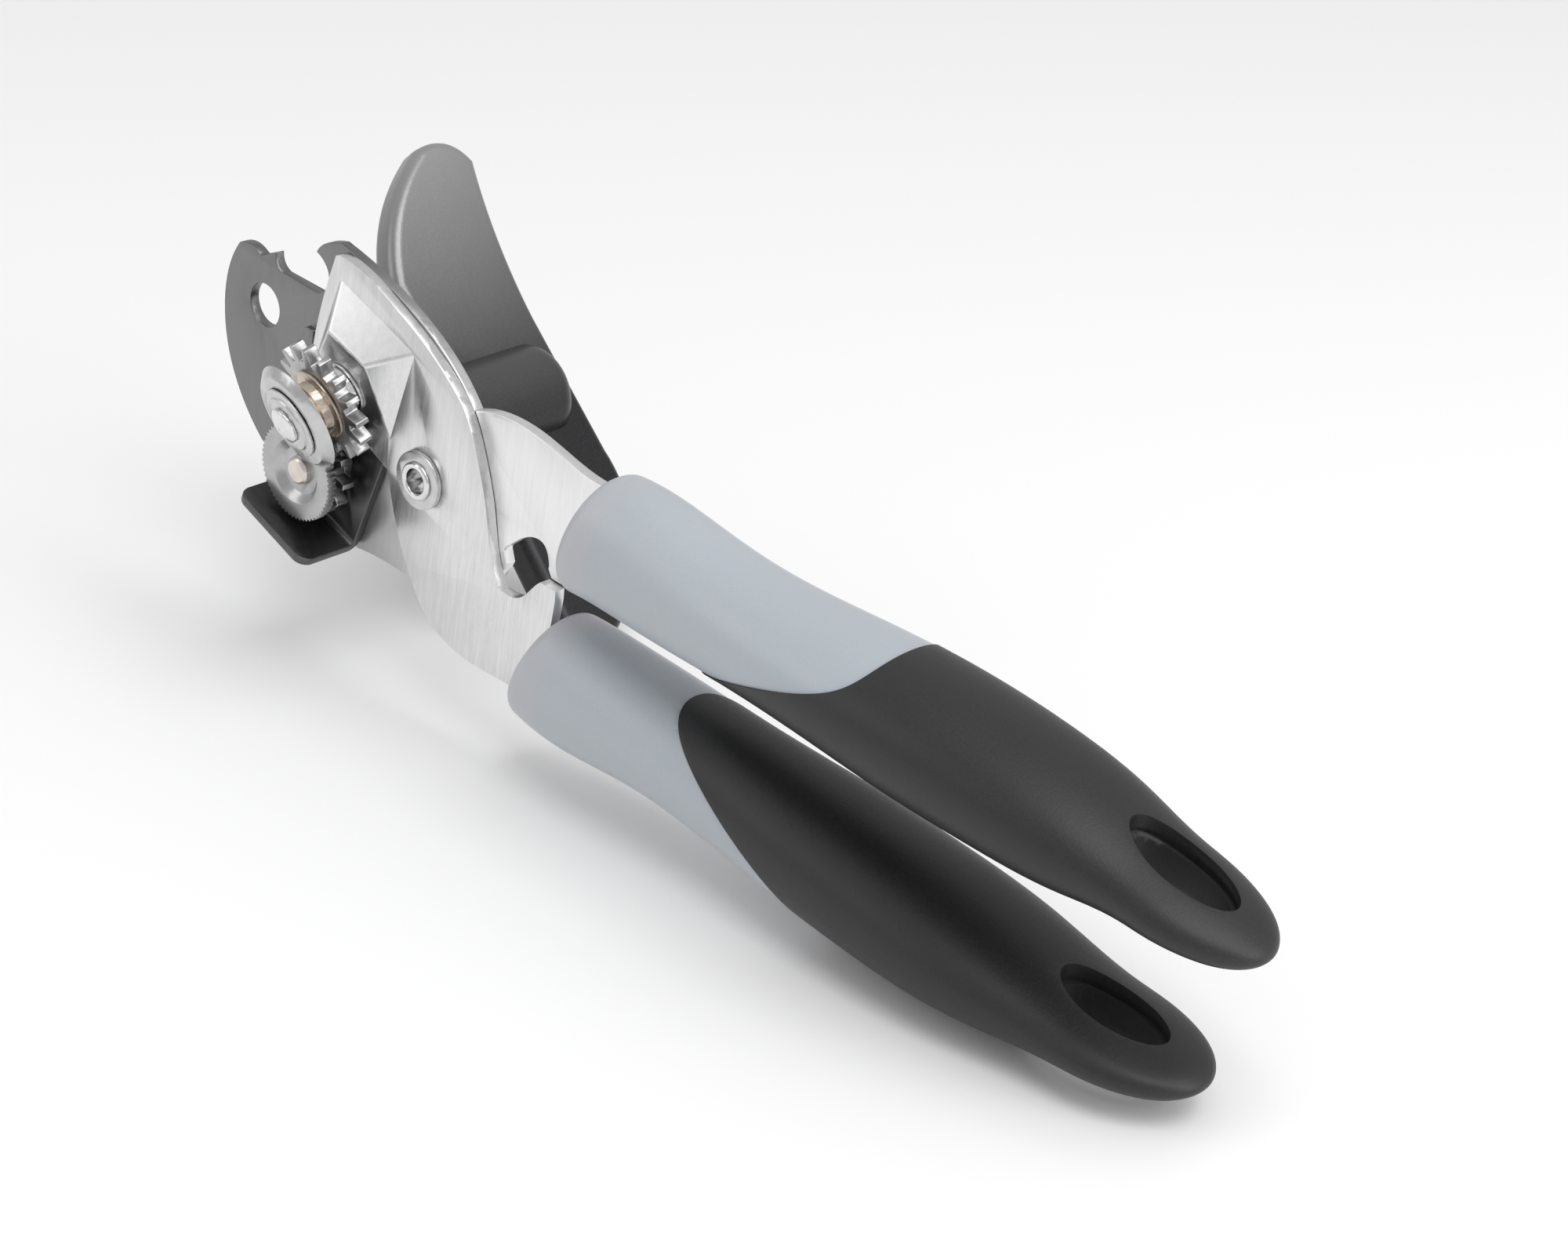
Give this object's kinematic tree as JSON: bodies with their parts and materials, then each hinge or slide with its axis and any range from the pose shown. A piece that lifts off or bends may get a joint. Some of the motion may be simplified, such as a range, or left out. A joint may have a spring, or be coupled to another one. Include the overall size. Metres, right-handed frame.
{
  "type": "manual can opener",
  "caption": "Hand can opener: two riveted steel levers with moulded grips, a geared cutting disc over a notched feed wheel, a bottle-opener notch and a winged turning key.",
  "frame": {"origin": "centre of the bounding box of the closed opener", "axes": "+X along the handles towards their ends, +Z from the lower to the upper handle, +Y towards the turning key"},
  "size_m": [0.2358, 0.0736, 0.0746],
  "materials": {
    "front_steel": "brushed",
    "back_steel": "brushed, dark",
    "guide_steel": "satin, dark",
    "bright_steel": "bright plated",
    "washer_steel": "turned",
    "gear_steel": "satin",
    "cutter_steel": "ground",
    "bronze": "dull bronze",
    "nickel": "nickel plated",
    "key_plastic": "satin metallic",
    "core_plastic": "matte",
    "collar_plastic": "frosted satin",
    "grip_rubber": "soft matte"
  },
  "bodies": {
    "lower_lever": {"front_plate": "front_steel", "lower_core": "core_plastic", "lower_collar": "collar_plastic", "lower_grip": "grip_rubber", "pivot_rivet": "bright_steel", "pivot_front_washer": "washer_steel", "pivot_back_washer": "washer_steel", "cutter_axle": "bright_steel", "cutter_bush": "bright_steel", "cutter_head_washer": "washer_steel"},
    "upper_lever": {"back_plate": "back_steel", "upper_core": "core_plastic", "upper_collar": "collar_plastic", "upper_grip": "grip_rubber", "can_guide": "guide_steel", "feed_bush": "bright_steel"},
    "feed_train": {"feed_shaft": "nickel", "feed_wheel": "gear_steel", "feed_gear": "gear_steel", "feed_spacer": "washer_steel", "spring_washer": "bright_steel", "key": "key_plastic"},
    "cutter_train": {"cutter_gear": "gear_steel", "cutter_spacer": "bronze", "cutter_wheel": "cutter_steel"}
  },
  "joints": [
    {"name": "handle_pivot", "type": "hinge", "parent": "lower_lever", "child": "upper_lever", "pos_m": [-0.05636, -0.01923, 0.00542], "axis": [0, -1, 0], "range_deg": [0, 30]},
    {"name": "feed_spin", "type": "hinge", "parent": "upper_lever", "child": "feed_train", "pos_m": [-0.08006, -0.01923, -0.00209], "axis": [0, -1, 0], "continuous": true},
    {"name": "cutter_spin", "type": "hinge", "parent": "lower_lever", "child": "cutter_train", "pos_m": [-0.0747, -0.02273, 0.01527], "axis": [-0.0863, -0.9302, -0.3567], "continuous": true}
  ],
  "couplings": [
    {"joint": "cutter_spin", "follows": "feed_spin", "ratio": -0.75}
  ]
}
